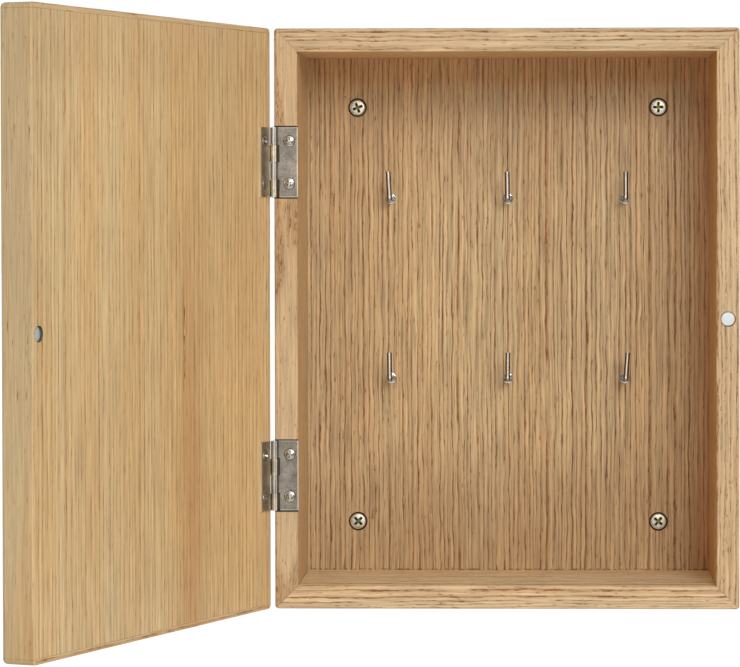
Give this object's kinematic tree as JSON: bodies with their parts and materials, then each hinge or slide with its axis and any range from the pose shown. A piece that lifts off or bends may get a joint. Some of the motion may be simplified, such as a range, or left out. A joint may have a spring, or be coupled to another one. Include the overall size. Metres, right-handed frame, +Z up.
{
  "type": "key box",
  "caption": "Wall-hung oak key box: a mitred frame with a veneered back panel and wire hooks, and a lipped door on butt hinges, held shut by magnets.",
  "frame": {"origin": "centre of the four wall screws on the wall plane, which is the centre of the back", "axes": "+Z up, +Y into the wall, +X to the right as seen from the front"},
  "size_m": [0.289, 0.2785, 0.25],
  "materials": {
    "solid_oak": "solid oak, oiled satin",
    "oak_veneer": "straight-grained oak veneer, satin",
    "plywood": "plain board, hidden under veneer",
    "nickel_wire": "nickel-plated wire",
    "clear_collar": "pale semi-clear plastic",
    "zinc_screw": "zinc-plated screw, faintly yellow",
    "nickel_screw": "nickel-plated screw",
    "nickel_sheet": "nickel-plated sheet steel",
    "magnet_nickel": "nickel-plated magnet"
  },
  "bodies": {
    "box": {"frame_top_rail": "solid_oak", "frame_bottom_rail": "solid_oak", "frame_left_stile": "solid_oak", "frame_right_stile": "solid_oak", "back_panel_core": "plywood", "back_panel_veneer": "oak_veneer", "hook_upper_left": "nickel_wire", "hook_upper_middle": "nickel_wire", "hook_upper_right": "nickel_wire", "hook_lower_left": "nickel_wire", "hook_lower_middle": "nickel_wire", "hook_lower_right": "nickel_wire", "hook_collars": "clear_collar", "wall_screws": "zinc_screw", "hinge_frame_screws": "nickel_screw", "upper_hinge_frame_leaf": "nickel_sheet", "lower_hinge_frame_leaf": "nickel_sheet", "upper_hinge_pin": "nickel_sheet", "lower_hinge_pin": "nickel_sheet", "frame_magnet": "magnet_nickel"},
    "door": {"door_core": "plywood", "door_inner_veneer": "oak_veneer", "door_outer_veneer": "oak_veneer", "door_top_lipping": "solid_oak", "door_bottom_lipping": "solid_oak", "door_hinge_lipping": "solid_oak", "door_free_lipping": "solid_oak", "hinge_door_screws": "nickel_screw", "upper_hinge_door_leaf": "nickel_sheet", "lower_hinge_door_leaf": "nickel_sheet", "door_magnet": "magnet_nickel"}
  },
  "joints": [
    {"name": "door_swing", "type": "hinge", "parent": "box", "child": "door", "pos_m": [-0.1003, -0.06943, 0], "axis": [0, 0, -1], "range_deg": [-112, 68]}
  ]
}
